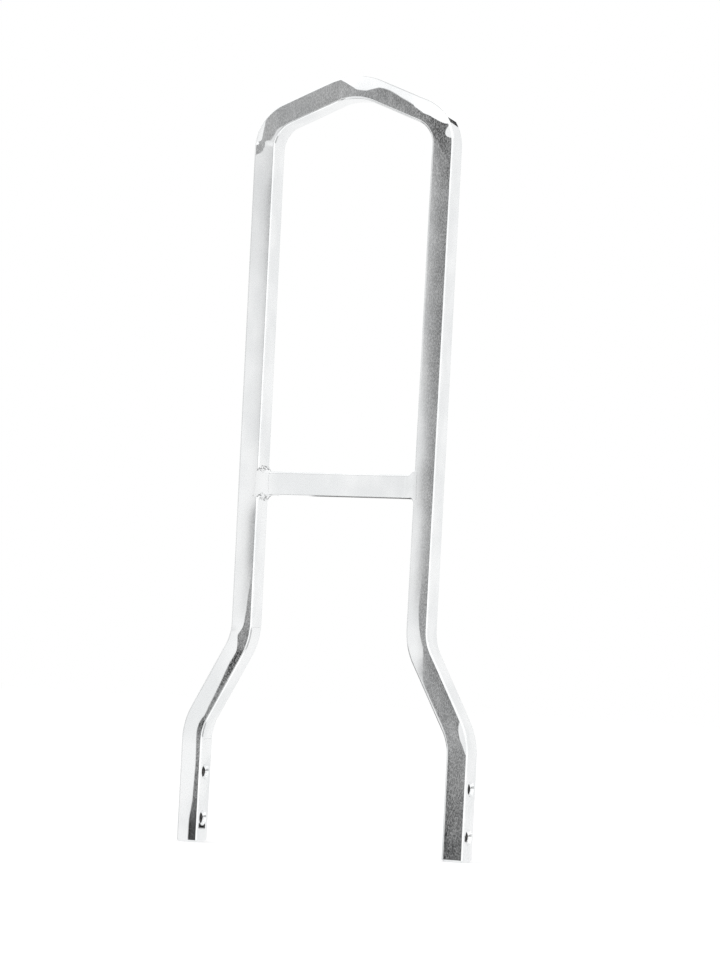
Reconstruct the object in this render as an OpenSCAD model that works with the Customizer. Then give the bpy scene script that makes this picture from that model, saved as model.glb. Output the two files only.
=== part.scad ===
// Sissy bar: one square steel bar bent into a tall hoop, with a crossbar of
// the same stock welded between its legs. X runs across the hoop, Z up the
// legs, and the whole frame is flat in Y. The origin lies midway between the
// ends of the two feet.

/* [Bar stock] */
// Width across the flats of the square bar
bar_w = 15.875; // [13:0.125:19]
// Radius of the bar's four long edges
edge_r = 1.2; // [0.6:0.1:2.2]

/* [Hoop] */
// Height from the foot ends to the top of the peak
hoop_h = 527; // [440:1:640]
// Slope of the two top runs, from level
top_slope = 22; // [14:0.5:30]
// Width over the legs at the shoulders
span_top = 151; // [136:0.5:175]
// Width over the legs where they start to kick out
span_low = 148.5; // [132:0.5:172]
// Width over the feet
span_feet = 216.5; // [200:0.5:250]
// Height of the corner where each kick-out meets its foot
foot_h = 80.5; // [70:0.5:110]
// Slant of the kick-out, from upright
kick_slant = 29; // [22:0.5:38]

/* [Bends] */
// Centre-line radius of the bend at the peak
peak_r = 46; // [30:1:64]
// Centre-line radius of the two shoulder bends
shoulder_r = 25; // [20:0.5:34]
// Centre-line radius of the four bends of the kick-outs
kick_r = 40; // [26:1:50]
// How far each outer edge draws in at the middle of a shoulder bend
bend_draw = 0.3; // [0:0.05:0.6]

/* [Crossbar] */
// Height of the crossbar's centre line
crossbar_z = 248; // [190:1:380]

/* [Foot holes] */
// Height of each foot's lower hole above the foot end
hole_low_z = 16.75; // [14:0.25:22]
// Distance between the two holes of a foot
hole_pitch = 31.75; // [22:0.25:40]
// Bore of the tapped holes, at the crest of the thread
hole_d = 6.6; // [5:0.1:8.4]
// Width of the countersink at both mouths of a hole
sink_d = 10.6; // [9:0.1:11.8]
// Bevel round the end of each foot
end_bevel = 1.4; // [0.6:0.1:2.4]

/* [Welds] */
// Height and reach of the left joint's fillets, above and below
weld_left_leg = 4; // [2.5:0.1:6]
// Height and reach of the right joint's upper fillet
weld_right_top = 4.6; // [2.5:0.1:6]
// Height and reach of the right joint's lower fillet
weld_right_low = 2.6; // [2:0.1:6]
// How far the ground weld stays under the front and back of the bars
weld_flush = 0.2; // [0.1:0.05:0.5]

/* [Hidden] */
$fn = 96;

// Distance from the bar's centre line to a flat
bar_half = bar_w / 2;
// Half the spans, taken to the bar's centre line
leg_x_top = span_top / 2 - bar_half;
leg_x_low = span_low / 2 - bar_half;
foot_x = span_feet / 2 - bar_half;
// A bend rounds its corner off by this much for each unit of its radius
peak_round = 1 / cos(top_slope) - 1;
// Corners of the centre line: peak, shoulder and the top of the kick-out
peak_z = hoop_h - bar_half + peak_r * peak_round;
shoulder_z = peak_z - leg_x_top * tan(top_slope);
kick_z = foot_h + (foot_x - leg_x_low) / tan(kick_slant);

// Leg line: its lean from upright, its centre and its inner face at height z
leg_lean = atan((leg_x_top - leg_x_low) / (shoulder_z - kick_z));
function leg_x(z) = leg_x_low + (z - kick_z) * tan(leg_lean);
function leg_inner_x(z) = leg_x(z) - bar_half / cos(leg_lean);

// The centre line's corners, from the left foot end round to the right one
CORNERS = [
    [-foot_x, 0],
    [-foot_x, foot_h],
    [-leg_x_low, kick_z],
    [-leg_x_top, shoulder_z],
    [0, peak_z],
    [leg_x_top, shoulder_z],
    [leg_x_low, kick_z],
    [foot_x, foot_h],
    [foot_x, 0]
];
// The bend radius at each corner, and none at the two foot ends
BENDS = [0, kick_r, kick_r, shoulder_r, peak_r, shoulder_r, kick_r, kick_r, 0];
LAST = len(CORNERS) - 1;
// Largest turn between two sections of a bend, and the number of flats that
// round each long edge
bend_step = 4;
edge_steps = 4;

// Unit vector at an angle in the plane of the frame, anticlockwise from +X
function unit_at(angle) = [cos(angle), sin(angle)];
// Run that leaves corner i, and its heading
function run_vector(i) = CORNERS[i + 1] - CORNERS[i];
function heading(i) = atan2(run_vector(i).y, run_vector(i).x);
// Turn of the bend at corner i, clockwise turns being negative
function turn(i) = heading(i) - heading(i - 1);
// Distance from corner i to either end of its bend, and where the bend starts
function setback(i) = BENDS[i] * tan(abs(turn(i)) / 2);
function bend_start(i) = CORNERS[i] - setback(i) * unit_at(heading(i - 1));
// Centre of the bend at corner i, and its point after an angle of the turn
function bend_centre(i) = bend_start(i) + BENDS[i] * unit_at(heading(i - 1) + 90 * sign(turn(i)));
function bend_point(i, angle) = bend_centre(i)
    + BENDS[i] * unit_at(heading(i - 1) + angle - 90 * sign(turn(i)));
// How far the bar's outer edges draw in at a share of the way round a bend,
// signed by the side on which the outside of the bend lies
function drawn_in(i, share) = -sign(turn(i)) * bend_draw * shoulder_r / BENDS[i]
    * pow(sin(180 * share), 2);

// Stations along the bar, each with its centre, its heading and its draw-in
STATIONS = [
    [CORNERS[0], heading(0), 0],
    for (i = [1 : LAST - 1])
        let (steps = ceil(abs(turn(i)) / bend_step))
            for (k = [0 : steps])
                let (angle = turn(i) * k / steps)
                    [bend_point(i, angle), heading(i - 1) + angle, drawn_in(i, k / steps)],
    [CORNERS[LAST], heading(LAST - 1), 0]
];

// Outline of the bar's section, with its long edges rounded. The first value
// of a point lies in the plane of the frame, to the left of the heading, and
// the second along Y.
SECTION = [
    for (quarter = [0 : 3], k = [0 : edge_steps])
        let (
            middle = (bar_half - edge_r) * sqrt(2) * unit_at(45 + 90 * quarter),
            edge = edge_r * unit_at(90 * quarter + 90 * k / edge_steps)
        )
            middle + edge
];

// The centre of a weld's hollow face lies this many fillet legs from the
// joint's corner, so that the face meets both bars at a small angle
weld_face_out = 1.2;
// How far a weld reaches into its bars before they are cut out of it
weld_overlap = edge_r + 1;

// Section of the square bar, with its long edges rounded
module bar_section() {
    square([bar_w - 2 * edge_r, bar_w], center = true);
    square([bar_w, bar_w - 2 * edge_r], center = true);
    for (sx = [-1, 1], sy = [-1, 1])
        translate([sx * (bar_half - edge_r), sy * (bar_half - edge_r)])
            circle(r = edge_r);
}

// Place of a section point at a station. On the outside of a bend the front and back
// draw in towards the middle of the bar, more so the further out they lie.
function station_point(station, p) =
    let (
        outwards = max(0, p.x * sign(station[2]) / bar_half),
        across = p.x * unit_at(station[1] + 90),
        depth = p.y - sign(p.y) * abs(station[2]) * outwards
    )
        [station[0].x + across.x, depth, station[0].y + across.y];

// The bent bar before its holes and foot ends are worked: its section lofted
// through all the stations and closed at the two foot ends
module bent_bar() {
    sides = len(SECTION);
    points = [for (station = STATIONS, p = SECTION) station_point(station, p)];
    end_ring = (len(STATIONS) - 1) * sides;
    polyhedron(
        points = points,
        faces = [
            [for (k = [0 : sides - 1]) k],
            for (ring = [0 : len(STATIONS) - 2], k = [0 : sides - 1])
                let (
                    this = ring * sides + k,
                    next = ring * sides + (k + 1) % sides
                )
                    [this, this + sides, next + sides, next],
            [for (k = [sides - 1 : -1 : 0]) end_ring + k]
        ]
    );
}

// A hole through a foot along X, countersunk at both mouths
module foot_hole() {
    sink_depth = (sink_d - hole_d) / 2;
    mouth_clear = 1;
    rotate([0, 90, 0])
        cylinder(d = hole_d, h = bar_w + 2 * mouth_clear, center = true);
    for (side = [-1, 1])
        rotate([0, side * 90, 0])
            translate([0, 0, bar_half - sink_depth])
                cylinder(d1 = hole_d, d2 = sink_d + 2 * mouth_clear, h = sink_depth + mouth_clear);
}

// Four slanted blocks that bevel the end of a foot
module end_bevels() {
    block = 4 * end_bevel;
    for (quarter = [0 : 90 : 270])
        rotate([0, 0, quarter])
            translate([bar_half, 0, 0])
                rotate([0, -45, 0])
                    translate([0, 0, -end_bevel / sqrt(2) - block / 2])
                        cube([2 * block, bar_w + block, block], center = true);
}

// The bent bar with its bevelled foot ends and its four holes
module hoop() {
    color("gainsboro")
        difference() {
            bent_bar();
            for (side = [-1, 1])
                translate([side * foot_x, 0, 0]) {
                    end_bevels();
                    for (hole_z = [hole_low_z, hole_low_z + hole_pitch])
                        translate([0, 0, hole_z])
                            foot_hole();
                }
        }
}

// Stretch of a leg beside the crossbar, on the right for side = 1
module leg_beside_joint(side) {
    stretch = 4 * bar_w;
    translate([side * leg_x(crossbar_z), 0, crossbar_z])
        rotate([0, side * leg_lean, 0])
            linear_extrude(stretch, center = true)
                bar_section();
}

// The crossbar runs from leg to leg, and its ends lie flat against them
module crossbar() {
    centre_span = 2 * leg_x(crossbar_z);
    color("whitesmoke")
        difference() {
            translate([-centre_span / 2, 0, crossbar_z])
                rotate([0, 90, 0])
                    linear_extrude(centre_span)
                        bar_section();
            for (side = [-1, 1])
                leg_end_cut(side);
        }
}

// Block that trims one end of the crossbar to the inner face of its leg
module leg_end_cut(side) {
    block = 4 * bar_w;
    translate([side * leg_inner_x(crossbar_z), 0, crossbar_z])
        rotate([0, side * leg_lean, 0])
            translate([side * block / 2, 0, 0])
                cube(block, center = true);
}

// Outline of a weld in the plane of the frame, round the corner at its
// origin, with the leg at x < 0 and the crossbar's face at y = 0. It is
// drawn for the fillet above the crossbar.
module fillet_outline(leg) {
    face_centre = weld_face_out * leg;
    face_r = norm([face_centre - leg, face_centre]);
    difference() {
        translate([-weld_overlap, -weld_overlap])
            square(leg + weld_overlap);
        translate([face_centre, face_centre])
            circle(r = face_r);
    }
}

// Weld of one joint: a fillet above and below the crossbar, joined over the
// rounded edges at the front and back, where it is ground almost flush
module joint_weld(side, leg_top, leg_low) {
    weld_depth = bar_w - 2 * weld_flush;
    difference() {
        translate([side * leg_inner_x(crossbar_z), 0, crossbar_z])
            rotate([90, 0, 0])
                linear_extrude(weld_depth, center = true)
                    mirror([side > 0 ? 1 : 0, 0]) {
                        translate([-weld_overlap, -bar_half])
                            square([2 * weld_overlap, bar_w]);
                        translate([0, bar_half])
                            fillet_outline(leg_top);
                        translate([0, -bar_half])
                            mirror([0, 1])
                                fillet_outline(leg_low);
                    }
        leg_beside_joint(side);
        crossbar();
    }
}

// The left joint's weld, with fillets of one size
module weld_left() {
    color("silver")
        joint_weld(-1, weld_left_leg, weld_left_leg);
}

// The right joint's weld, dressed smaller below the crossbar than above it
module weld_right() {
    color("silver")
        joint_weld(1, weld_right_top, weld_right_low);
}

hoop();
crossbar();
weld_left();
weld_right();
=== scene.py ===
"""Dresses the sissy bar: the bent hoop, its crossbar and the two welds, all in bright chrome.

The hoop and the crossbar are swept by one Geometry Nodes tree along polylines that carry the
bar's heading, twist and bend distortion. The tapped holes and the weld fillets have trees of
their own. Everything is in metres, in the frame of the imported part.
"""
import logging
import math
from dataclasses import dataclass, field, replace
from enum import Enum

import bmesh
import bpy
from mathutils import Matrix, Vector


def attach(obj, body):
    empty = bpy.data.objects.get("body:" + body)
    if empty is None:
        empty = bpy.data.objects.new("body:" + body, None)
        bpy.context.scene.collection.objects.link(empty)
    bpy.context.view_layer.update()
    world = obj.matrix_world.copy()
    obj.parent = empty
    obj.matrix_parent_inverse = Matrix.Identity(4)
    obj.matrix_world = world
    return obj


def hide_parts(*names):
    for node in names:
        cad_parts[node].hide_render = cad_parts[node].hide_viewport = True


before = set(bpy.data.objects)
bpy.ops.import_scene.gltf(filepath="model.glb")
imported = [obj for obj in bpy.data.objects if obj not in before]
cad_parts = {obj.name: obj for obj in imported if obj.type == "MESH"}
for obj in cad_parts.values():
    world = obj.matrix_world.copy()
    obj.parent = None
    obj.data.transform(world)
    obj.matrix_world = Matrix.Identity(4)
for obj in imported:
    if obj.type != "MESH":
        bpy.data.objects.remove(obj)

logging.basicConfig(level=logging.INFO, format="%(message)s")
log = logging.getLogger("sissy_bar")

MM = 0.001
ROOT = "root"
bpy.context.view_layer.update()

Socket = bpy.types.NodeSocket
Node = bpy.types.Node
Stops = tuple[tuple[float, float], ...]
Span = tuple[float, float]
SoftSpan = tuple[float, float, float]
Tone = tuple[float, float, float]
Inputs = dict[int | str, object]
WHITE = (1.0, 1.0, 1.0, 1.0)
NEVER_ZERO = 1e-14


class Slot(Enum):
    """Material slots of the record, handed to place with each piece."""

    BAR = "chrome_bar"
    WELD = "chrome_weld"


class Side(Enum):
    """Side of the frame on which a leg stands, as the sign of its X."""

    LEFT = -1
    RIGHT = 1


@dataclass(frozen=True)
class Term:
    """An output of a node. Sums with it add the nodes that work them out."""

    wiring: "NodeWiring"
    socket: Socket

    def math(self, operation: str, *others: object) -> "Term":
        """Adds a Math node whose first value is this one."""
        return self.wiring.math(operation, self, *others)

    def __add__(self, other: object) -> "Term":
        """Adds another value to this one."""
        return self.math("ADD", other)

    def __radd__(self, other: float) -> "Term":
        """Adds this value to a number."""
        return self.wiring.math("ADD", other, self)

    def __sub__(self, other: object) -> "Term":
        """Takes another value from this one."""
        return self.math("SUBTRACT", other)

    def __rsub__(self, other: float) -> "Term":
        """Takes this value from a number."""
        return self.wiring.math("SUBTRACT", other, self)

    def __mul__(self, other: object) -> "Term":
        """Multiplies this value by another."""
        return self.math("MULTIPLY", other)

    def __truediv__(self, other: object) -> "Term":
        """Divides this value by another."""
        return self.math("DIVIDE", other)

    def __abs__(self) -> "Term":
        """Drops the value's sign."""
        return self.math("ABSOLUTE")

    def held(self, low: object, high: object) -> "Term":
        """Keeps the value between two limits."""
        return self.math("MAXIMUM", low).math("MINIMUM", high)

    def share(self, low: float, high: float, shape: str) -> "Term":
        """Share of the way from low to high, in a shape such as LINEAR."""
        inputs = {"Value": self, "From Min": low, "From Max": high}
        return self.wiring.term("ShaderNodeMapRange", inputs, interpolation_type=shape)

    def ramp(self, low: float, high: float) -> "Term":
        """Smooth step from 0 at low to 1 at high."""
        return self.share(low, high, "SMOOTHSTEP")

    def band(self, low: float, high: float, soft: float) -> "Term":
        """Mask that is 1 between low and high, with edges as wide as soft."""
        rise = self.ramp(low - soft / 2, low + soft / 2)
        fall = self.ramp(high - soft / 2, high + soft / 2)
        return rise * (1.0 - fall)

    def grade(self, stops: Stops) -> "Term":
        """Looks the value up on a curve of straight pieces.

        Args:
            stops: Pairs of value and result, in rising order.

        Returns:
            The result.
        """
        low, high = stops[0][0], stops[-1][0]
        made = self.wiring.node("ShaderNodeValToRGB", {0: self.share(low, high, "LINEAR")})
        ramp = made.color_ramp
        while len(ramp.elements) < len(stops):
            ramp.elements.new(0.5)
        for element, (at, level) in zip(ramp.elements, stops):
            element.position = (at - low) / (high - low)
            element.color = (level, level, level, 1.0)
        return Term(self.wiring, made.outputs[0])

    def mix(self, first: object, second: object) -> "Term":
        """Mixes two numbers, with this value as the share of the second."""
        inputs = {"Factor": self, 2: first, 3: second}
        return self.wiring.term("ShaderNodeMix", inputs, data_type="FLOAT")

    def tint(self, first: "Term | Tone", second: "Term | Tone") -> "Term":
        """Mixes two colours, with this value as the share of the second.

        Args:
            first: A colour's output, or its red, green and blue.
            second: The other colour.

        Returns:
            The mixed colour.
        """
        inputs: Inputs = {"Factor": self}
        for key, colour in ((6, first), (7, second)):
            inputs[key] = colour if isinstance(colour, Term) else (*colour, 1.0)
        return self.wiring.term("ShaderNodeMix", inputs, 2, data_type="RGBA")

    def split(self) -> "list[Term]":
        """Splits a vector into its X, Y and Z."""
        made = self.wiring.node("ShaderNodeSeparateXYZ", {0: self})
        return [Term(self.wiring, output) for output in made.outputs]


class NodeWiring:
    """Short calls that add and join nodes in one tree."""

    def __init__(self, tree: bpy.types.NodeTree) -> None:
        """Keeps the tree.

        Args:
            tree: The shader or geometry tree to build in.
        """
        self.tree = tree

    def node(self, kind: str, inputs: Inputs, **settings: object) -> Node:
        """Adds a node.

        Args:
            kind: The node's type name.
            inputs: What feeds its inputs, by their names or numbers.
            settings: Values for the node's own properties.

        Returns:
            The new node.
        """
        made = self.tree.nodes.new(kind)
        for name, value in settings.items():
            setattr(made, name, value)
        self.fill(made, inputs)
        return made

    def term(self, kind: str, inputs: Inputs, output: int | str = 0, **settings: object) -> Term:
        """Adds a node in the same way and returns one of its outputs."""
        return Term(self, self.node(kind, inputs, **settings).outputs[output])

    def read(self, kind: str, output: int | str = 0) -> Term:
        """Adds a node that needs no input and returns one of its outputs."""
        return self.term(kind, {}, output)

    def fill(self, node: Node, inputs: Inputs) -> None:
        """Feeds a node's inputs, which go by their names or numbers."""
        for key, value in inputs.items():
            self.feed(node.inputs[key], value)

    def feed(self, socket: Socket, value: object) -> None:
        """Joins an output to an input, or sets the input's value.

        Args:
            socket: The input socket.
            value: A term, an output socket or a plain value.
        """
        if isinstance(value, Term):
            value = value.socket
        if isinstance(value, Socket):
            self.tree.links.new(value, socket)
        else:
            socket.default_value = value

    def math(self, operation: str, *values: object) -> Term:
        """Adds a Math node and returns its output."""
        return self.term("ShaderNodeMath", dict(enumerate(values)), operation=operation)

    def join(self, *parts: object) -> Term:
        """Joins an X, a Y and a Z into a vector."""
        return self.term("ShaderNodeCombineXYZ", dict(enumerate(parts)))


class GeometryTree:
    """A Geometry Nodes group with named inputs, run once on an object."""

    def __init__(self, name: str) -> None:
        """Makes the group with its geometry sockets.

        Args:
            name: The group's name.
        """
        self.group = bpy.data.node_groups.new(name, "GeometryNodeTree")
        self.wiring = NodeWiring(self.group)
        for way in ("INPUT", "OUTPUT"):
            self.new_socket("Geometry", way, "Geometry")
        self.entry = self.wiring.node("NodeGroupInput", {})
        self.identifiers: dict[str, str] = {}

    def size_input(self, name: str, kind: str = "Float") -> Term:
        """Adds a named input to the group.

        Args:
            name: The input's name.
            kind: The socket's kind, such as Float, Int or Material.

        Returns:
            The input inside the group.
        """
        self.identifiers[name] = self.new_socket(name, "INPUT", kind).identifier
        return Term(self.wiring, self.entry.outputs[name])

    def new_socket(self, name: str, way: str, kind: str) -> bpy.types.NodeTreeInterfaceSocket:
        """Adds a socket to the group's inputs or outputs and returns it."""
        sockets = self.group.interface
        return sockets.new_socket(name, in_out=way, socket_type="NodeSocket" + kind)

    def sizes(self, *names: str, kind: str = "Float") -> list[Term]:
        """Adds several inputs of one kind and returns them."""
        return [self.size_input(name, kind) for name in names]

    def move(self, geometry: Socket, place: Term) -> Socket:
        """Puts every point of a geometry in a new place and returns the result."""
        inputs = {"Geometry": geometry, "Position": place}
        return self.wiring.node("GeometryNodeSetPosition", inputs).outputs[0]

    def close(self, geometry: Socket, material: Term, *parts: tuple[Term, Term]) -> None:
        """Ends the tree in Realize Instances and Set Material.

        Args:
            geometry: The geometry to hand out.
            material: The group's material input.
            parts: Selections that take another material, each with that material.
        """
        last = self.wiring.node("GeometryNodeRealizeInstances", {0: geometry}).outputs[0]
        for chosen, finish in ((True, material), *parts):
            inputs = {"Geometry": last, "Selection": chosen, "Material": finish}
            last = self.wiring.node("GeometryNodeSetMaterial", inputs).outputs[0]
        self.wiring.node("NodeGroupOutput", {0: last})

    def run(self, name: str, mesh: bpy.types.Mesh, values: dict[str, object]) -> bpy.types.Object:
        """Runs the tree on a mesh and keeps the result as a plain object.

        Args:
            name: The finished object's name.
            mesh: The mesh that the tree starts from.
            values: A value for each named input.

        Returns:
            A new object with the finished mesh.
        """
        source = link(bpy.data.objects.new(name + "_line", mesh))
        modifier = source.modifiers.new("shape", "NODES")
        modifier.node_group = self.group
        for key, value in values.items():
            modifier[self.identifiers[key]] = value
        seen = source.evaluated_get(bpy.context.evaluated_depsgraph_get())
        made = bpy.data.meshes.new_from_object(seen)
        made.name = name
        bpy.data.objects.remove(source)
        piece = link(bpy.data.objects.new(name, made))
        face_outwards(made)
        return piece


def link(thing: bpy.types.Object) -> bpy.types.Object:
    """Adds an object to the scene and returns it."""
    bpy.context.scene.collection.objects.link(thing)
    return thing


def surface(name: str) -> tuple[bpy.types.Material, NodeWiring, Node]:
    """Makes a material with nodes.

    Args:
        name: The material's name.

    Returns:
        The material, its wiring and its shader.
    """
    material = bpy.data.materials.new(name)
    material.use_nodes = True
    tree = material.node_tree
    return material, NodeWiring(tree), tree.nodes["Principled BSDF"]


def face_outwards(mesh: bpy.types.Mesh, merge: float = 1e-6) -> None:
    """Merges doubles, turns every face outwards and shades the mesh smooth.

    Args:
        mesh: The mesh to clean.
        merge: The distance under which points become one, in metres.
    """
    work = bmesh.new()
    work.from_mesh(mesh)
    bmesh.ops.remove_doubles(work, verts=work.verts, dist=merge)
    bmesh.ops.recalc_face_normals(work, faces=work.faces)
    for face in work.faces:
        face.smooth = True
    work.to_mesh(mesh)
    work.free()


@dataclass(frozen=True)
class Speckle:
    """Noise in a finish, and the range of its values over which it sets in."""

    scale: Tone
    detail: float
    low: float = 0.0
    high: float = 1.0

    def noise(self, place: Term) -> Term:
        """Adds the noise, with its scale in cycles in a metre along X, Y and Z.

        Args:
            place: Object coordinates.

        Returns:
            The noise, from 0 to 1.
        """
        wiring = place.wiring
        mapped = wiring.term("ShaderNodeMapping", {"Vector": place, "Scale": self.scale})
        inputs = {"Vector": mapped, "Scale": 1.0, "Detail": self.detail}
        return wiring.term("ShaderNodeTexNoise", inputs)

    def cover(self, place: Term) -> Term:
        """Share of each spot that the speckle covers, from 0 to 1."""
        return self.noise(place).ramp(self.low, self.high)


@dataclass(frozen=True)
class ChromePlate:
    """Bright chrome over polished steel, with a faint haze that shows in dark reflections, and
    painted shade in the folds of a weld bead where that is set.
    """

    name: str
    tone: Tone = (0.905, 0.914, 0.918)
    cloud_tone: Tone = (0.82, 0.833, 0.84)
    film: Speckle = Speckle((38.0, 38.0, 24.0), 2.0, 0.38, 0.66)
    roughness: float = 0.01
    uneven: float = 0.5
    haze: float = 0.28
    streaks: Speckle = Speckle((1400.0, 1400.0, 600.0), 1.5, 0.37, 0.66)
    streak_share: float = 0.85
    clouds: Speckle = Speckle((120.0, 120.0, 40.0), 2.0, 0.42, 0.70)
    cloud_share: float = 0.35
    rubbed_side: Span = (-60 * MM, -40 * MM)
    rubbed_end: Span = (10 * MM, 34 * MM)
    rubbed_haze: float = 0.15
    grain: Speckle = Speckle((700.0, 700.0, 260.0), 2.0)
    grain_height: float = 0.0003
    # Painted shade: a near-black tone laid into noise folds of an undressed weld bead, where
    # crease shade falls; 0 leaves it out.
    fold_shade: float = 0.0
    fold_shade_past: Span = (248 * MM, 7.9 * MM)
    fold_shade_run: float = 0.6 * MM
    folds: Speckle = Speckle((650.0, 420.0, 650.0), 1.0, 0.5, 0.64)
    fold_shade_tone: Tone = (0.04, 0.042, 0.045)

    def build(self) -> bpy.types.Material:
        """Makes the material.

        Returns:
            The finished chrome.
        """
        material, wiring, shader = surface(self.name)
        place = wiring.read("ShaderNodeTexCoord", "Object")
        colour = self.film.cover(place).tint(self.tone, self.cloud_tone)
        # Painted shade in the folds of the bead, where it is set.
        if self.fold_shade:
            colour = self.add_fold_shade(colour, place)
        rougher = self.clouds.noise(place) * (self.roughness * self.uneven)
        height = self.grain.noise(place) * self.grain_height
        bump = {"Strength": 1.0, "Distance": MM, "Height": height}
        wiring.fill(shader, {
            "Base Color": colour,
            "Metallic": 1.0 - self.hazed(place),
            "Roughness": self.roughness + rougher,
            "Normal": wiring.term("ShaderNodeBump", bump),
        })
        return material

    def hazed(self, place: Term) -> Term:
        """Spreads the haze in streaks and clouds, thinner on the end of the left foot.

        Args:
            place: Object coordinates.

        Returns:
            The share of haze.
        """
        streaked = self.streaks.cover(place) * self.streak_share
        cover = streaked + self.clouds.cover(place) * self.cloud_share
        x, _, z = place.split()
        kept = x.ramp(*self.rubbed_side).math("MAXIMUM", z.ramp(*self.rubbed_end))
        return cover * self.haze * kept.mix(self.rubbed_haze, 1.0)

    def add_fold_shade(self, colour: Term, place: Term) -> Term:
        """Paints shade into the folds of an undressed bead above and below the crossbar.

        Args:
            colour: The colour of the plating.
            place: Object coordinates.

        Returns:
            The colour with painted shade in its folds.
        """
        middle, half = self.fold_shade_past
        rise = abs(place.split()[2] - middle)
        past = rise.ramp(half, half + self.fold_shade_run)
        # Painted shade: how much of the dark fold tone each spot takes.
        depth = self.folds.cover(place) * past * self.fold_shade
        return depth.tint(colour, self.fold_shade_tone)


@dataclass(frozen=True)
class ShadedBareThread:
    """Steel of the tapped threads, which the plating doesn't reach, darkened as painted shade
    inside the bore.
    """

    name: str
    # Painted shade: the near-black tone stands in for the shade inside the bore, over unplated
    # steel.
    tone: Tone = (0.055, 0.057, 0.06)
    worn_tone: Tone = (0.16, 0.155, 0.15)
    grime: Speckle = Speckle((700.0, 700.0, 700.0), 3.0, 0.35, 0.7)
    roughness: float = 0.42

    def build(self) -> bpy.types.Material:
        """Makes the material.

        Returns:
            The finished steel.
        """
        material, wiring, shader = surface(self.name)
        place = wiring.read("ShaderNodeTexCoord", "Object")
        colour = self.grime.cover(place).tint(self.tone, self.worn_tone)
        finish = {"Base Color": colour, "Metallic": 1.0, "Roughness": self.roughness}
        wiring.fill(shader, finish)
        return material


@dataclass(frozen=True)
class BarStock:
    """The square bar that the hoop and the crossbar are cut from."""

    width: float = 15.875 * MM
    edge_radius: float = 1.2 * MM
    crown: float = 0.055 * MM
    face_steps: int = 10
    edge_steps: int = 6

    @property
    def half(self) -> float:
        """Half the bar's width."""
        return self.width / 2


@dataclass(frozen=True)
class Profile:
    """A smooth line through control points that never swings past them."""

    points: Stops

    def slope(self, i: int) -> float:
        """Slope of the line at one control point.

        Args:
            i: The point's number.

        Returns:
            The slope, which is level at both ends and at a peak or dip.
        """
        if i in (0, len(self.points) - 1):
            return 0.0
        (x0, y0), (x1, y1), (x2, y2) = self.points[i - 1:i + 2]
        before = (y1 - y0) / (x1 - x0)
        after = (y2 - y1) / (x2 - x1)
        if before * after <= 0:
            return 0.0
        first, second = 2 * (x2 - x1) + (x1 - x0), (x2 - x1) + 2 * (x1 - x0)
        return (first + second) / (first / before + second / after)

    def at(self, place: float) -> float:
        """Value of the line at a place.

        Args:
            place: Where to read it.

        Returns:
            The value, held level past both ends.
        """
        if place <= self.points[0][0]:
            return self.points[0][1]
        for i, ((low, first), (high, second)) in enumerate(zip(self.points, self.points[1:])):
            if place <= high:
                t = (place - low) / (high - low)
                rise, fall = self.slope(i) * (high - low), self.slope(i + 1) * (high - low)
                return (
                    first * (1 + 2 * t) * (1 - t) ** 2
                    + rise * t * (1 - t) ** 2
                    + second * t * t * (3 - 2 * t)
                    + fall * t * t * (t - 1)
                )
        return self.points[-1][1]


@dataclass(frozen=True)
class Station:
    """One section of a bar along its centre line."""

    x: float
    z: float
    heading: float
    y: float = 0.0
    draw_in: float = 0.0
    twist: float = 0.0
    inset: float = 0.0


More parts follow.
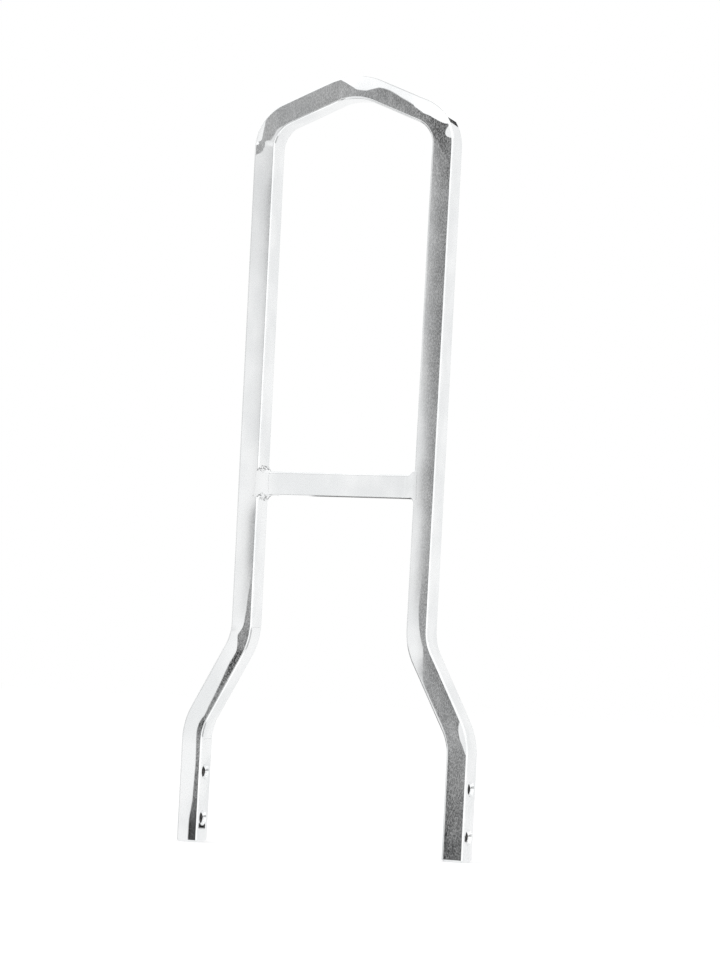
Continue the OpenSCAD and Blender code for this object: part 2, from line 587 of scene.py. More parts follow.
class BarSweep:
    """Sweeps the bar's section along a polyline of stations."""

    FIELDS = ("heading", "draw_in", "twist", "inset")
    DRAW_IN_POWER = 1.5

    def __init__(self) -> None:
        """Builds the tree."""
        self.tree = GeometryTree("bar_sweep")
        tree, wiring = self.tree, self.tree.wiring
        width, edge, crown = tree.sizes("Bar Width", "Edge Radius", "Crown")
        face_steps, edge_steps = tree.sizes("Face Steps", "Edge Steps", kind="Int")
        material = tree.size_input("Material", "Material")
        half = width * 0.5

        line = wiring.node("GeometryNodeMeshToCurve", {"Mesh": tree.entry.outputs["Geometry"]})
        rail, rail_place = self.capture(line.outputs[0])
        profile, profile_place = self.capture(self.section(width, edge, face_steps, edge_steps))
        inputs = {"Curve": rail, "Profile Curve": profile, "Fill Caps": True}
        sweep = wiring.node("GeometryNodeCurveToMesh", inputs)

        across, depth, _ = profile_place.split()
        across, depth = self.shaped(across, depth, half, crown)
        heading, _, twist, _ = (self.named(name) for name in self.FIELDS)
        cosine, sine = twist.math("COSINE"), twist.math("SINE")
        turned_across = across * cosine - depth * sine
        turned_depth = across * sine + depth * cosine
        x, y, z = rail_place.split()
        out_x = turned_across * heading.math("SINE")
        out_z = turned_across * heading.math("COSINE")
        place = wiring.join(x - out_x, y + turned_depth, z + out_z)
        tree.close(tree.move(sweep.outputs[0], place), material)

    def capture(self, geometry: Socket) -> tuple[Socket, Term]:
        """Stores the place of each point before the sweep.

        Args:
            geometry: A curve.

        Returns:
            The curve and the stored place.
        """
        wiring = self.tree.wiring
        store = wiring.node("GeometryNodeCaptureAttribute", {}, domain="POINT")
        store.capture_items.new("VECTOR", "place")
        wiring.fill(store, {0: geometry, 1: wiring.read("GeometryNodeInputPosition")})
        return store.outputs[0], Term(wiring, store.outputs[1])

    def named(self, name: str) -> Term:
        """Reads a number that the stations carry."""
        kind = "GeometryNodeInputNamedAttribute"
        return self.tree.wiring.term(kind, {"Name": name}, "Attribute", data_type="FLOAT")

    def section(self, width: Term, edge: Term, face_steps: Term, edge_steps: Term) -> Socket:
        """Draws the rounded square.

        Args:
            width: Width across the flats.
            edge: Radius of the long edges.
            face_steps: Pieces that each face is cut into.
            edge_steps: Points on each rounded edge.

        Returns:
            The profile curve.
        """
        wiring = self.tree.wiring
        flats = {"Width": width, "Height": width}
        square = wiring.node("GeometryNodeCurvePrimitiveQuadrilateral", flats).outputs[0]
        cuts = {"Curve": square, "Cuts": face_steps}
        cut = wiring.node("GeometryNodeSubdivideCurve", cuts).outputs[0]
        rounds = {"Curve": cut, "Radius": edge, "Count": edge_steps}
        return wiring.node("GeometryNodeFilletCurve", rounds, mode="POLY").outputs[0]

    def shaped(self, across: Term, depth: Term, half: Term, crown: Term) -> tuple[Term, Term]:
        """Crowns the faces, draws in one edge at bends and insets bevelled and ground sections.

        Args:
            across: Section coordinate in the plane of the frame.
            depth: Section coordinate along Y.
            half: Half the bar's width.
            crown: How far a face falls away towards its edges.

        Returns:
            The two coordinates after shaping.
        """
        _, draw_in, _, inset = (self.named(name) for name in self.FIELDS)
        across_share, depth_share = across / half, depth / half
        fall = crown / half
        crowned_across = across * (1.0 - fall * depth_share * depth_share)
        crowned_depth = depth * (1.0 - fall * across_share * across_share)
        outwards = (across_share * draw_in.math("SIGN")).math("MAXIMUM", 0.0)
        drawn = abs(draw_in) / half * outwards.math("POWER", self.DRAW_IN_POWER)
        narrowed = 1.0 - inset / half
        return crowned_across * narrowed, crowned_depth * (1.0 - drawn) * narrowed

    def make(
        self, name: str, stations: list[Station], stock: BarStock, material: bpy.types.Material
    ) -> bpy.types.Object:
        """Sweeps the bar along the stations.

        Args:
            name: The piece's name.
            stations: Sections in order along the bar.
            stock: The bar's sizes.
            material: The bar's finish.

        Returns:
            The swept bar.
        """
        line = bpy.data.meshes.new(name + "_line")
        places = [(station.x, station.y, station.z) for station in stations]
        links = [(i, i + 1) for i in range(len(places) - 1)]
        line.from_pydata(places, links, [])
        for key in self.FIELDS:
            stored = line.attributes.new(key, "FLOAT", "POINT")
            for i, station in enumerate(stations):
                stored.data[i].value = getattr(station, key)
        values = {
            "Bar Width": stock.width,
            "Edge Radius": stock.edge_radius,
            "Crown": stock.crown,
            "Face Steps": stock.face_steps,
            "Edge Steps": stock.edge_steps,
            "Material": material,
        }
        return self.tree.run(name, line, values)


class TappedBore:
    """Makes the cutter of one foot hole: a helical thread with a countersink at both mouths."""

    def __init__(self) -> None:
        """Builds the tree."""
        self.tree = GeometryTree("tapped_bore")
        tree, wiring = self.tree, self.tree.wiring
        crest, thread, pitch = tree.sizes("Crest Radius", "Thread Depth", "Pitch")
        mouth, half, length = tree.sizes("Mouth Radius", "Half Bar", "Length")
        around, along = tree.sizes("Steps Around", "Steps Along", kind="Int")
        material, shaded_bare_steel = tree.sizes("Material", "Thread Material", kind="Material")
        steps = {"Vertices": around, "Side Segments": along}
        blank = wiring.node("GeometryNodeMeshCylinder", steps | {"Radius": 1.0, "Depth": length})
        x, y, z = wiring.read("GeometryNodeInputPosition").split()
        angle = y.math("ARCTAN2", x)
        turns = z / pitch - angle / (2 * math.pi)
        height = turns.math("PINGPONG", 0.5)
        groove = crest + thread * height * 2.0
        cone = mouth - (half - abs(z))
        radius = groove.math("MAXIMUM", cone)
        across = radius * angle.math("COSINE")
        place = wiring.join(z, across, radius * angle.math("SINE"))
        past_cone = half - (mouth - crest)
        threaded = abs(x).math("LESS_THAN", past_cone)
        # The threads take the steel that is darkened as painted shade inside the bore.
        tree.close(tree.move(blank.outputs["Mesh"], place), material, (threaded, shaded_bare_steel))


@dataclass
class FootHoles:
    """The two tapped holes of each foot."""

    low_z: float = 16.75 * MM
    pitch_z: float = 31.75 * MM
    crest_radius: float = 3.3 * MM
    thread_depth: float = 0.65 * MM
    thread_pitch: float = 25.4 / 18 * MM
    mouth_radius: float = 5.3 * MM
    past_face: float = 0.6 * MM
    steps_around: int = 48
    steps_along: int = 96

    def cut(
        self, piece: bpy.types.Object, foot_x: float, stock: BarStock,
        material: bpy.types.Material, shaded_bare_steel: bpy.types.Material,
    ) -> None:
        """Cuts all four holes out of the hoop.

        Args:
            piece: The hoop.
            foot_x: Distance of a foot's centre line from the middle.
            stock: The bar's sizes.
            material: The finish of the countersinks.
            shaded_bare_steel: The finish of the threads: unplated steel, darkened as painted shade
                inside the bore.
        """
        tree = TappedBore().tree
        values = {
            "Crest Radius": self.crest_radius,
            "Thread Depth": self.thread_depth,
            "Pitch": self.thread_pitch,
            "Mouth Radius": self.mouth_radius,
            "Half Bar": stock.half,
            "Length": stock.width + 2 * self.past_face,
            "Steps Around": self.steps_around,
            "Steps Along": self.steps_along,
            "Material": material,
            "Thread Material": shaded_bare_steel,
        }
        blank = bpy.data.meshes.new("bore_blank")
        for side in Side:
            for hole_z in (self.low_z, self.low_z + self.pitch_z):
                cutter = tree.run("bore", blank, values)
                cutter.data.transform(Matrix.Translation((side.value * foot_x, 0, hole_z)))
                subtract(piece, cutter)


def subtract(piece: bpy.types.Object, cutter: bpy.types.Object) -> None:
    """Takes one closed mesh out of another and removes the cutter.

    Args:
        piece: The piece that is cut.
        cutter: The closed mesh that is taken away.
    """
    modifier = piece.modifiers.new("cut", "BOOLEAN")
    modifier.operation = "DIFFERENCE"
    modifier.solver = "EXACT"
    modifier.material_mode = "TRANSFER"
    modifier.object = cutter
    seen = piece.evaluated_get(bpy.context.evaluated_depsgraph_get())
    made = bpy.data.meshes.new_from_object(seen)
    piece.modifiers.clear()
    old = piece.data
    made.name = old.name
    piece.data = made
    bpy.data.meshes.remove(old)
    bpy.data.objects.remove(cutter)


@dataclass
class Hoop:
    """The bent hoop, from the left foot end round to the right one."""

    stock: BarStock = field(default_factory=BarStock)
    height: float = 527 * MM
    top_slope: float = math.radians(22)
    span_top: float = 151 * MM
    span_low: float = 148.5 * MM
    span_feet: float = 216.5 * MM
    foot_height: float = 80.5 * MM
    kick_slant: float = math.radians(29)
    peak_radius: float = 46 * MM
    shoulder_radius: float = 25 * MM
    kick_radius: float = 40 * MM
    end_bevel: float = 1.4 * MM
    run_step: float = 4 * MM
    bend_step: float = math.radians(2)
    hand_turn: Profile = Profile((
        (0, -2.7), (15, -2.7), (27, -2.5), (45, -2.42), (54, -2.38), (62, -2.4), (72, -2.44),
        (80, -2.54), (90, -2.64), (100, -2.7), (112, -2.68), (134, -2.74), (143, -2.4),
        (150, -2.7), (158, -2.1), (168, -2.1), (200, -1.78), (234, -1.78), (246, -1.08),
        (256, -1.02), (268, -1.0), (300, -1.2), (380, -1.32), (455, -1.6), (470, -1.28),
        (487.6, -1.06), (491.3, 0.38), (500, 0.41), (512, 0.64), (530, 1.45), (555, 0.22),
        (564, 0.67), (572, 2.15), (580, 2.2), (588, 1.76), (594, 1.69), (606, 1.91),
        (620, 2.12), (630, 2.44), (640, 2.52), (648, 2.4), (656, 1.98), (668, 1.78),
        (690, 1.45), (720, 1.45), (780, 1.44), (830, 1.12),
        (865, 0.84), (876, 1.05), (896, 1.05), (907, 0.72), (930, 0.74), (970, 0.98),
        (985, 0.78), (995, 0.7), (1004, 1.06), (1012, 1.71), (1050, 1.5), (1080, 1.42),
        (1142.3, 1.39),
    ))
    edge_draw: Profile = Profile((
        (62, 0), (72, 0.006), (80, 0.007), (90, 0.002), (98, 0), (136, 0), (143, -0.05),
        (150, -0.078), (158, -0.04), (168, 0), (485.5, 0), (490.5, 0.115), (497, 0.09),
        (506, 0.03), (514, 0), (555, 0), (564, 0.095), (572, 0.114), (580, 0.062), (590, 0),
        (620, 0), (630, 0.356), (640, 0.163), (646, 0.1), (650, 0.19), (654, 0.06), (662, 0),
        (1042, 0), (1050, 0.096), (1060, 0.25), (1068, 0.15), (1080, 0.05), (1090, 0),
    ))
    sharp_edge: float = math.radians(24)
    holes: FootHoles = field(default_factory=FootHoles)

    @property
    def foot_x(self) -> float:
        """Distance of a foot's centre line from the middle."""
        return self.span_feet / 2 - self.stock.half

    def leg_x(self, z: float) -> float:
        """Distance of a leg's centre line from the middle at a height."""
        _, low, top = self.half_corners()[1:4]
        share = (z - low[1]) / (top[1] - low[1])
        return low[0] + share * (top[0] - low[0])

    def half_corners(self) -> list[tuple[float, float]]:
        """Corners of the right half's centre line, from the foot end to the peak.

        Returns:
            The corners as X and Z.
        """
        top_x = self.span_top / 2 - self.stock.half
        low_x = self.span_low / 2 - self.stock.half
        cut_off = self.peak_radius * (1 / math.cos(self.top_slope) - 1)
        peak_z = self.height - self.stock.half + cut_off
        shoulder_z = peak_z - top_x * math.tan(self.top_slope)
        kick_z = self.foot_height + (self.foot_x - low_x) / math.tan(self.kick_slant)
        return [
            (self.foot_x, 0.0),
            (self.foot_x, self.foot_height),
            (low_x, kick_z),
            (top_x, shoulder_z),
            (0.0, peak_z),
        ]

    def corners(self) -> list[Vector]:
        """All corners, from the left foot end round to the right one."""
        right = self.half_corners()
        left = [(-x, z) for x, z in right]
        return [Vector(corner) for corner in left + right[-2::-1]]

    def stations(self) -> list[Station]:
        """Works out every section of the bar.

        Returns:
            The stations in order.
        """
        corners = self.corners()
        side = [0.0, self.kick_radius, self.kick_radius, self.shoulder_radius]
        radii = [*side, self.peak_radius, *side[::-1]]
        headings = [math.atan2((b - a).y, (b - a).x) for a, b in zip(corners, corners[1:])]
        made = self.foot_end(corners[0], headings[0], 1.0)
        last = corners[0]
        for i in range(1, len(corners) - 1):
            turn = headings[i] - headings[i - 1]
            setback = radii[i] * math.tan(abs(turn) / 2)
            start = corners[i] - setback * unit(headings[i - 1])
            made += self.run(last, start, headings[i - 1])
            made += self.bend(start, headings[i - 1], turn, radii[i])
            last = corners[i] + setback * unit(headings[i])
        made += self.run(last, corners[-1], headings[-1])
        made += self.foot_end(corners[-1], headings[-1], -1.0)
        return self.turned(made)

    def turned(self, stations: list[Station]) -> list[Station]:
        """Gives each section the twist and the drawn-in edge that bending left in it.

        Args:
            stations: The stations in order.

        Returns:
            The same stations with their twist and draw-in.
        """
        along = 0.0
        last = stations[0]
        made = []
        for station in stations:
            along += math.hypot(station.x - last.x, station.z - last.z) / MM
            last = station
            twist = math.radians(self.hand_turn.at(along))
            made.append(replace(station, twist=twist, draw_in=self.edge_draw.at(along) * MM))
        return made

    def foot_end(self, end: Vector, heading: float, onwards: float) -> list[Station]:
        """Stations of one bevelled foot end.

        Args:
            end: The end's place.
            heading: The bar's heading there.
            onwards: 1 where the bar starts and -1 where it ends.

        Returns:
            Two stations in the bar's order.
        """
        inner = end + onwards * self.end_bevel * unit(heading)
        pair = [
            Station(end.x, end.y, heading, inset=self.end_bevel),
            Station(inner.x, inner.y, heading),
        ]
        return pair if onwards > 0 else pair[::-1]

    def run(self, start: Vector, end: Vector, heading: float) -> list[Station]:
        """Stations inside one straight run, without its two ends."""
        count = max(2, round((end - start).length / self.run_step))
        places = [start.lerp(end, k / count) for k in range(1, count)]
        return [Station(p.x, p.y, heading) for p in places if self.end_bevel < p.y]

    def bend(self, start: Vector, heading: float, turn: float, radius: float) -> list[Station]:
        """Stations round one bend.

        Args:
            start: Where the bend starts.
            heading: The heading there.
            turn: The bend's turn, clockwise being negative.
            radius: The centre-line radius.

        Returns:
            The stations from the bend's start to its end.
        """
        side = math.copysign(1.0, turn)
        centre = start + radius * unit(heading + side * math.pi / 2)
        count = math.ceil(abs(turn) / self.bend_step)
        made = []
        for k in range(count + 1):
            now = heading + turn * k / count
            p = centre + radius * unit(now - side * math.pi / 2)
            made.append(Station(p.x, p.y, now))
        return made

    def build(
        self, sweep: BarSweep, material: bpy.types.Material, shaded_bare_steel: bpy.types.Material
    ) -> bpy.types.Object:
        """Makes the hoop with its holes.

        Args:
            sweep: The tree that sweeps bars.
            material: The hoop's chrome.
            shaded_bare_steel: The threads' unplated steel, darkened as painted shade inside the
                bore.

        Returns:
            The finished piece.
        """
        piece = sweep.make("hoop_bar", self.stations(), self.stock, material)
        self.holes.cut(piece, self.foot_x, self.stock, material, shaded_bare_steel)
        sharpen(piece.data, self.sharp_edge)
        return piece


def unit(angle: float) -> Vector:
    """Unit vector at an angle in the plane of the frame."""
    return Vector((math.cos(angle), math.sin(angle)))


def sharpen(mesh: bpy.types.Mesh, limit: float) -> None:
    """Shades a mesh smooth, with edges above an angle kept sharp.

    Args:
        mesh: The mesh.
        limit: The angle, in radians.
    """
    mesh.shade_smooth()
    mesh.set_sharp_from_angle(angle=limit)


@dataclass
class Crossbar:
    """The short bar between the legs."""

    stock: BarStock = field(default_factory=BarStock)
    height: float = 248 * MM
    sink: float = 0.5 * MM
    ground: float = 0.055 * MM
    skew: float = 0.1434 * MM
    steps: int = 20
    sharp_edge: float = math.radians(40)

    def build(
        self, hoop: Hoop, sweep: BarSweep, material: bpy.types.Material
    ) -> bpy.types.Object:
        """Makes the crossbar between the legs of a hoop.

        Args:
            hoop: The hoop that it is welded to.
            sweep: The tree that sweeps bars.
            material: The crossbar's chrome.

        Returns:
            The finished piece.
        """
        reach = hoop.leg_x(self.height) - self.stock.half + self.sink
        shares = [2 * k / self.steps - 1 for k in range(self.steps + 1)]
        stations = [
            Station(share * reach, self.height, 0.0, y=-share * self.skew, inset=self.ground)
            for share in shares
        ]
        piece = sweep.make("crossbar_bar", stations, self.stock, material)
        sharpen(piece.data, self.sharp_edge)
        return piece


@dataclass(frozen=True)
class WeldForm:
    """Sizes and shares that all dressed welds have in common."""

    blank_points: tuple[int, int, int] = (33, 53, 73)
    fillet_centre: float = 1.2
    fillet_overlap: float = 0.02 * MM
    blend: float = 3.0 * MM
    end_run: float = 3.0 * MM
    crown_run: float = 5.0 * MM
    lift: float = 0.006 * MM
    lift_middle: float = 0.6
    swell: float = 0.1
    thinning: float = 0.9 * MM
    thinned: Span = (0.35, 1.0)
    lumps_inside: float = 1.0 * MM
    lumps_run: float = 1.5 * MM
    dressed: Span = (6.2 * MM, 7.4 * MM)
    ripple_scale: float = 330.0
    ripple_detail: float = 2.0
    bead_waves: Tone = (2100.0, 500.0, 5.0)
    wave_share: float = 0.35
    lump_share: float = 2.6


class WeldTree:
    """Shapes a weld from a block: two hollow fillets and a patch dressed flush with the bars."""

    def __init__(self, form: WeldForm = WeldForm()) -> None:
        """Builds the tree.

        Args:
            form: Sizes that all the welds have in common.
        """
        self.form = form
        self.tree = GeometryTree("weld_fillets")
        tree, wiring = self.tree, self.tree.wiring
        side, face_x, height, half = tree.sizes("Side", "Leg Face", "Height", "Half Bar")
        self.top, self.low = tree.sizes("Upper Fillet", "Lower Fillet")
        edge, crown, turn = tree.sizes("Edge Radius", "Crown", "Leg Turn")
        reach, patch, lumps, drop = tree.sizes(
            "Reach Into Leg", "Patch Length", "Lump Depth", "End Drop"
        )
        material = tree.size_input("Material", "Material")

        points = {f"Vertices {axis}": n for axis, n in zip("XYZ", form.blank_points)}
        block = wiring.node("GeometryNodeMeshCube", {"Size": (2.0, 2.0, 2.0), **points})
        i, j, k = wiring.read("GeometryNodeInputPosition").split()
        along = (i + 1.0) * 0.5 * (patch + reach) - reach
        upper = half + self.fillet(along, self.top)
        lower = half + self.fillet(along, self.low)
        middle = (upper - lower) * 0.5
        half_tall = (upper + lower) * 0.5
        deep, tall = self.rounded(j * half, k * half_tall, half, half_tall, edge)
        rise = self.lumped(along, deep, middle + tall, half, lumps)

        gap = form.blend - along.math("MINIMUM", form.blend)
        out = half - gap * gap * (0.25 / form.blend)
        leg_share = out / half
        bar_share = rise / half
        to_end = patch - along
        onto_bar = to_end.ramp(0.0, form.end_run)
        behind = to_end.ramp(form.end_run, 2 * form.end_run)
        proud = (along + reach).ramp(0.0, form.end_run) * onto_bar
        sink = drop * (1.0 - onto_bar) + onto_bar * (1.0 - behind) * drop * -form.swell
        sink += crown * leg_share * leg_share
        sink += crown * bar_share * bar_share * along.ramp(0.0, form.crown_run)
        sink += self.taper(rise, half) * form.thinning
        sink += (form.lift_middle - proud) * form.lift
        past_leg = along.math("MAXIMUM", 0.0)
        eased = past_leg * half / face_x
        shift = turn * (out - eased)
        sunk = deep - deep / half * sink
        place = wiring.join(side * (face_x - along), sunk - shift, height + rise)
        tree.close(tree.move(block.outputs["Mesh"], place), material)

    def fillet(self, along: Term, leg: Term) -> Term:
        """Height of a hollow fillet over the crossbar.

        Args:
            along: Distance from the leg's face.
            leg: The fillet's size.

        Returns:
            The height, which is zero past the fillet.
        """
        centre_share = self.form.fillet_centre
        centre = leg * centre_share
        radius_share = centre_share ** 2 + (centre_share - 1) ** 2
        radius_squared = leg * leg * radius_share
        across = centre - along.held(0.0, leg)
        left = radius_squared - across * across
        root = left.math("MAXIMUM", 0.0).math("SQRT")
        return centre - root - self.form.fillet_overlap

    def rounded(
        self, deep: Term, tall: Term, half: Term, half_tall: Term, edge: Term
    ) -> tuple[Term, Term]:
        """Rounds the four long edges of the block.

        Args:
            deep: Coordinate along Y.
            tall: Coordinate along Z from the middle.
            half: Half the depth.
            half_tall: Half the height.
            edge: Radius of the edges.

        Returns:
            The two coordinates after rounding.
        """
        inner = []
        for value, whole in ((deep, half), (tall, half_tall)):
            limit = whole - edge
            kept = value.held(limit * -1.0, limit)
            inner.append((kept, value - kept))
        (deep_in, deep_out), (tall_in, tall_out) = inner
        longest = abs(deep_out).math("MAXIMUM", abs(tall_out))
        length = (deep_out * deep_out + tall_out * tall_out + NEVER_ZERO).math("SQRT")
        scale = longest / length
        return deep_in + deep_out * scale, tall_in + tall_out * scale

    def lumped(self, along: Term, deep: Term, rise: Term, half: Term, lumps: Term) -> Term:
        """Adds the lumps of a bead that was laid along Y, where it isn't dressed.

        Args:
            along: Distance from the leg's face.
            deep: Coordinate along Y.
            rise: Height from the crossbar's centre line.
            half: Half the bar's width.
            lumps: Height of the lumps.

        Returns:
            The height with its lumps.
        """
        wiring, form = self.tree.wiring, self.form
        lump = wiring.term("ShaderNodeTexNoise", {
            "Vector": wiring.join(along, deep, rise),
            "Scale": form.ripple_scale,
            "Detail": form.ripple_detail,
        })
        waves = form.bead_waves
        bowed = deep * waves[0] + along * waves[1] + lump * waves[2]
        ripple = bowed.math("SINE") * form.wave_share + (lump - 0.5) * form.lump_share
        past = abs(rise) - (half - form.lumps_inside)
        laid = past.ramp(0.0, form.lumps_run)
        undressed = 1.0 - abs(deep).ramp(*form.dressed)
        amount = ripple * lumps * laid * rise.math("SIGN")
        return rise + amount * undressed

    def taper(self, rise: Term, half: Term) -> Term:
        """Thins the weld towards its upper and lower ends.

        Args:
            rise: Height from the crossbar's centre line.
            half: Half the bar's width.

        Returns:
            The share of the thinning.
        """
        thinned = self.form.thinned
        over = rise - half
        under = rise * -1.0 - half
        above = (over / self.top).ramp(*thinned)
        below = (under / self.low).ramp(*thinned)
        return above.math("MAXIMUM", below)


@dataclass
class JointWeld:
    """The weld between the crossbar and one leg."""

    side: Side
    upper_leg: float
    lower_leg: float
    lump_depth: float
    leg_turn: float
    end_drop: float = 0.0
    reach_into_leg: float = 4.0 * MM
    patch_length: float = 9.0 * MM

    def build(
        self, name: str, hoop: Hoop, bar: Crossbar, shaper: WeldTree, material: bpy.types.Material
    ) -> bpy.types.Object:
        """Makes the weld.

        Args:
            name: The piece's name.
            hoop: The hoop whose leg it joins.
            bar: The crossbar that it joins.
            shaper: The tree that shapes welds.
            material: The weld's chrome.

        Returns:
            The finished piece.
        """
        values = {
            "Side": float(self.side.value),
            "Leg Face": hoop.leg_x(bar.height) - hoop.stock.half,
            "Height": bar.height,
            "Half Bar": hoop.stock.half,
            "Upper Fillet": self.upper_leg,
            "Lower Fillet": self.lower_leg,
            "Edge Radius": hoop.stock.edge_radius,
            "Crown": hoop.stock.crown,
            "Leg Turn": math.tan(self.leg_turn),
            "Reach Into Leg": self.reach_into_leg,
            "Patch Length": self.patch_length,
            "Lump Depth": self.lump_depth,
            "End Drop": self.end_drop,
            "Material": material,
        }
        return shaper.tree.run(name, bpy.data.meshes.new(name + "_blank"), values)


@dataclass(frozen=True)
class Panel:
    """A grey part of the studio that only reflections show, in degrees round and above."""

    left: float
    right: float
    low: float
    high: float
    level: float
    soft: float = 2.0


@dataclass(frozen=True)
class GreyWall:
    """The studio in front of the object, as ranges in degrees and levels of brightness."""

    edge: float = -23.2
    soft_levels: Stops = (
        (-4.0, 1.0), (-2.4, 0.95), (-1.5, 0.87), (-1.0, 0.75), (-0.5, 0.58), (0.0, 0.45),
        (0.5, 0.36), (1.0, 0.30), (2.0, 0.23), (3.0, 0.15), (4.0, 0.105), (6.0, 0.08),
    )
    hard_levels: Stops = (
        (-3.9, 0.28), (-3.35, 0.22), (-3.1, 0.055), (-2.75, 0.07), (-2.43, 0.12),
        (-1.77, 0.205), (-1.14, 0.25), (-0.24, 0.27), (0.9, 0.28),
    )
    hard_edge: Span = (-0.1, 0.1)
    softens: Span = (0.2, 1.6)
    rim: SoftSpan = (-0.1, 0.35, 0.15)
    rim_depth: float = 0.16
    deepest: SoftSpan = (-3.15, -2.65, 0.3)
    deepest_extra: float = 0.4
    shaded: Span = (4.5, 8.0)
    shade: float = 0.13
    header_levels: Stops = (
        (-31.0, 0.40), (-27.5, 0.35), (-25.5, 0.29), (-24.4, 0.17), (-23.5, 0.11), (-20.0, 0.10),
    )
    header_left: Span = (-31.1, -30.9)
    header_low: Span = (8.15, 8.25)
    lit_low: Span = (12.5, 12.7)
    lit: float = 1.18
    right_end: Span = (-18.3, -18.1)
    glow: SoftSpan = (-12.0, 120.0, 6.0)
    glow_level: float = 0.25

    def level(self, azimuth: Term, elevation: Term) -> Term:
        """Brightness of the studio in each direction.

        Args:
            azimuth: Degrees from straight in front, to the right.
            elevation: Degrees above level.

        Returns:
            The brightness.
        """
        past_edge = azimuth - self.edge
        extra = elevation.band(*self.deepest) * self.deepest_extra
        darker = past_edge.band(*self.rim) * (self.rim_depth + extra)
        hard = elevation.grade(self.hard_levels)
        hard = hard * (1.0 - darker)
        hard = past_edge.ramp(*self.hard_edge).mix(1.0, hard)
        soft = past_edge.grade(self.soft_levels)
        wall = elevation.ramp(*self.softens).mix(hard, soft)
        upper = elevation.ramp(*self.shaded) * self.shade
        wall = wall * (1.0 - upper)
        header = azimuth.grade(self.header_levels)
        header = azimuth.ramp(*self.header_left).mix(1.0, header)
        level = elevation.ramp(*self.header_low).mix(wall, header)
        level = elevation.ramp(*self.lit_low).mix(level, self.lit)
        level = azimuth.ramp(*self.right_end).mix(level, 1.0)
        glow = azimuth.band(*self.glow) * self.glow_level
        return level + glow


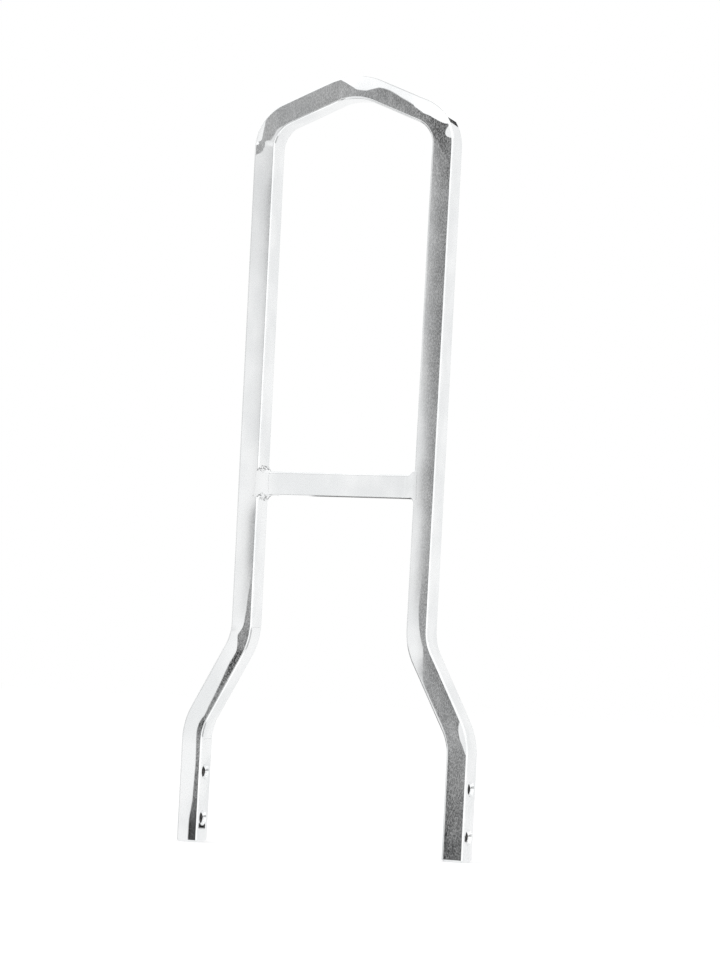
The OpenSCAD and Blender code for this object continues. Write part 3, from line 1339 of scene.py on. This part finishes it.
@dataclass
class Studio:
    """The white studio: world, floor, lamp and the camera of the photograph."""

    bearing: float = math.radians(26.35)
    rise: float = math.radians(-2.89)
    roll: float = math.radians(2.90)
    distance: float = 2.42427
    aim: Tone = (0.01481, 0.0, 0.25185)
    lens: float = 134.27
    sensor: float = 36.0
    floor_size: float = 14.0
    floor_tone: float = 0.97
    floor_lift: float = 0.11
    light_level: float = 0.93
    lamp_size: float = 1.6
    lamp_power: float = 6.0
    lamp_place: Tone = (-0.4, -0.6, 2.2)
    lamp_aim: Tone = (0.0, 0.0, 0.2)
    wall: GreyWall = GreyWall()
    panels: tuple[Panel, ...] = (
        Panel(154.4, 157.6, -2.785, -2.695, 0.0, 0.014),
        Panel(-155.8, -152.9, -6.0, -1.0, 0.22, 0.15),
        Panel(-155.8, -154.35, -6.0, -1.0, 0.03, 0.15),
        Panel(-151.5, -125.0, -60.0, -12.0, 0.30),
        Panel(175.8, 180.4, 22.0, 34.0, 0.0, 0.4),
        Panel(-180.4, -177.5, 22.0, 34.0, 0.0, 0.4),
        Panel(176.0, 183.0, -21.0, 19.0, 0.40),
        Panel(-183.0, -170.0, -12.0, 19.0, 0.40),
        Panel(84.0, 96.0, -6.0, 20.0, 0.45),
        Panel(-98.0, -82.0, -6.0, 20.0, 0.55),
        Panel(-52.0, -38.0, -6.0, 20.0, 0.52),
        Panel(-142.0, -128.0, -10.0, 20.0, 0.55),
        Panel(36.0, 147.0, -32.0, -6.0, 0.55, 3.0),
        Panel(-148.0, -38.0, -32.0, -6.0, 0.36, 3.0),
        Panel(-15.0, 12.0, -32.0, -9.0, 0.45, 3.0),
        Panel(-184.0, 184.0, 66.0, 94.0, 0.7, 6.0),
    )

    def build(self) -> None:
        """Makes everything round the object."""
        self.camera()
        self.world()
        self.floor()
        self.lamp()
        bpy.context.scene.view_settings.view_transform = "Standard"

    def camera(self) -> None:
        """Sets the camera as it stood for the photograph."""
        back = Vector((
            math.sin(self.bearing) * math.cos(self.rise),
            -math.cos(self.bearing) * math.cos(self.rise),
            math.sin(self.rise),
        ))
        right = Vector((math.cos(self.bearing), math.sin(self.bearing), 0.0))
        up = back.cross(right)
        c, s = math.cos(self.roll), math.sin(self.roll)
        rolled_right = c * right + s * up
        rolled_up = c * up - s * right
        data = bpy.data.cameras.new("camera")
        data.lens = self.lens
        data.sensor_width = self.sensor
        camera = link(bpy.data.objects.new("camera", data))
        axes = Matrix((rolled_right, rolled_up, back)).transposed().to_4x4()
        camera.matrix_world = Matrix.Translation(Vector(self.aim) + self.distance * back) @ axes
        bpy.context.scene.camera = camera

    def world(self) -> None:
        """White to the eye, with the grey panels of the studio in reflections."""
        world = bpy.data.worlds.new("studio")
        world.use_nodes = True
        bpy.context.scene.world = world
        wiring = NodeWiring(world.node_tree)
        shade = world.node_tree.nodes["Background"]
        x, y, z = wiring.read("ShaderNodeTexCoord", "Generated").split()
        azimuth = x.math("ARCTAN2", y * -1.0) * math.degrees(1.0)
        elevation = z.math("ARCSINE") * math.degrees(1.0)
        level = self.wall.level(azimuth, elevation)
        for panel in self.panels:
            beside = azimuth.band(panel.left, panel.right, panel.soft)
            inside = beside * elevation.band(panel.low, panel.high, panel.soft)
            level = inside.mix(level, panel.level)
        camera, transmission, glossy = (
            wiring.read("ShaderNodeLightPath", f"Is {kind} Ray")
            for kind in ("Camera", "Transmission", "Glossy")
        )
        seen = camera.math("MAXIMUM", transmission)
        strength = glossy.mix(self.light_level, level)
        wiring.fill(shade, {"Color": WHITE, "Strength": seen.mix(strength, 1.0)})

    def floor(self) -> None:
        """Lays the plain pale floor."""
        bpy.ops.mesh.primitive_plane_add(size=self.floor_size)
        floor = bpy.context.object
        floor.name = "floor"
        material, wiring, shader = surface("floor_paper")
        seen = wiring.read("ShaderNodeLightPath", "Is Camera Ray")
        wiring.fill(shader, {
            "Base Color": (*[self.floor_tone] * 3, 1.0),
            "Roughness": 1.0,
            "Specular IOR Level": 0.0,
            "Emission Color": WHITE,
            "Emission Strength": seen * self.floor_lift,
        })
        floor.data.materials.append(material)
        floor.visible_glossy = False

    def lamp(self) -> None:
        """Hangs one broad soft lamp above the object."""
        data = bpy.data.lights.new("overhead", "AREA")
        data.shape = "SQUARE"
        data.size = self.lamp_size
        data.energy = self.lamp_power
        lamp = link(bpy.data.objects.new("overhead", data))
        lamp.location = self.lamp_place
        towards = Vector(self.lamp_aim) - lamp.location
        lamp.rotation_euler = towards.to_track_quat("-Z", "Y").to_euler()
        lamp.visible_glossy = False


def place(piece: bpy.types.Object, slot: Slot, *nodes: str) -> None:
    """Lets a piece stand for CAD nodes on the one body.

    Args:
        piece: The finished piece.
        slot: Its material slot; not used.
        nodes: The CAD nodes that it replaces.
    """
    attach(piece, ROOT)
    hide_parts(*nodes)
    log.info("%s: %d faces", piece.name, len(piece.data.polygons))


def main() -> None:
    """Builds the studio and every piece."""
    Studio().build()
    chrome = ChromePlate("chrome_bar").build()
    # The bead's chrome carries painted shade in its folds.
    bead_chrome = ChromePlate("chrome_bead", haze=0.22, fold_shade=0.75).build()
    weld_chrome = ChromePlate("chrome_weld", haze=0.22).build()
    # Thread steel, darkened as painted shade inside the bore.
    shaded_bare_steel = ShadedBareThread("shaded_bare_thread").build()
    sweep = BarSweep()
    hoop = Hoop()
    bar = Crossbar()
    place(hoop.build(sweep, chrome, shaded_bare_steel), Slot.BAR, "hoop")
    place(bar.build(hoop, sweep, chrome), Slot.BAR, "crossbar")
    welds = WeldTree()
    left = JointWeld(
        Side.LEFT, upper_leg=4.2 * MM, lower_leg=4.2 * MM, lump_depth=0.42 * MM,
        leg_turn=math.radians(-1.02),
    )
    right = JointWeld(
        Side.RIGHT, upper_leg=4.8 * MM, lower_leg=2.7 * MM, lump_depth=0.0,
        leg_turn=math.radians(1.05), end_drop=bar.ground + 0.01 * MM,
    )
    place(left.build("weld_left_bead", hoop, bar, welds, bead_chrome), Slot.WELD, "weld_left")
    place(right.build("weld_right_fillet", hoop, bar, welds, weld_chrome), Slot.WELD, "weld_right")


if __name__ == "__main__":
    main()
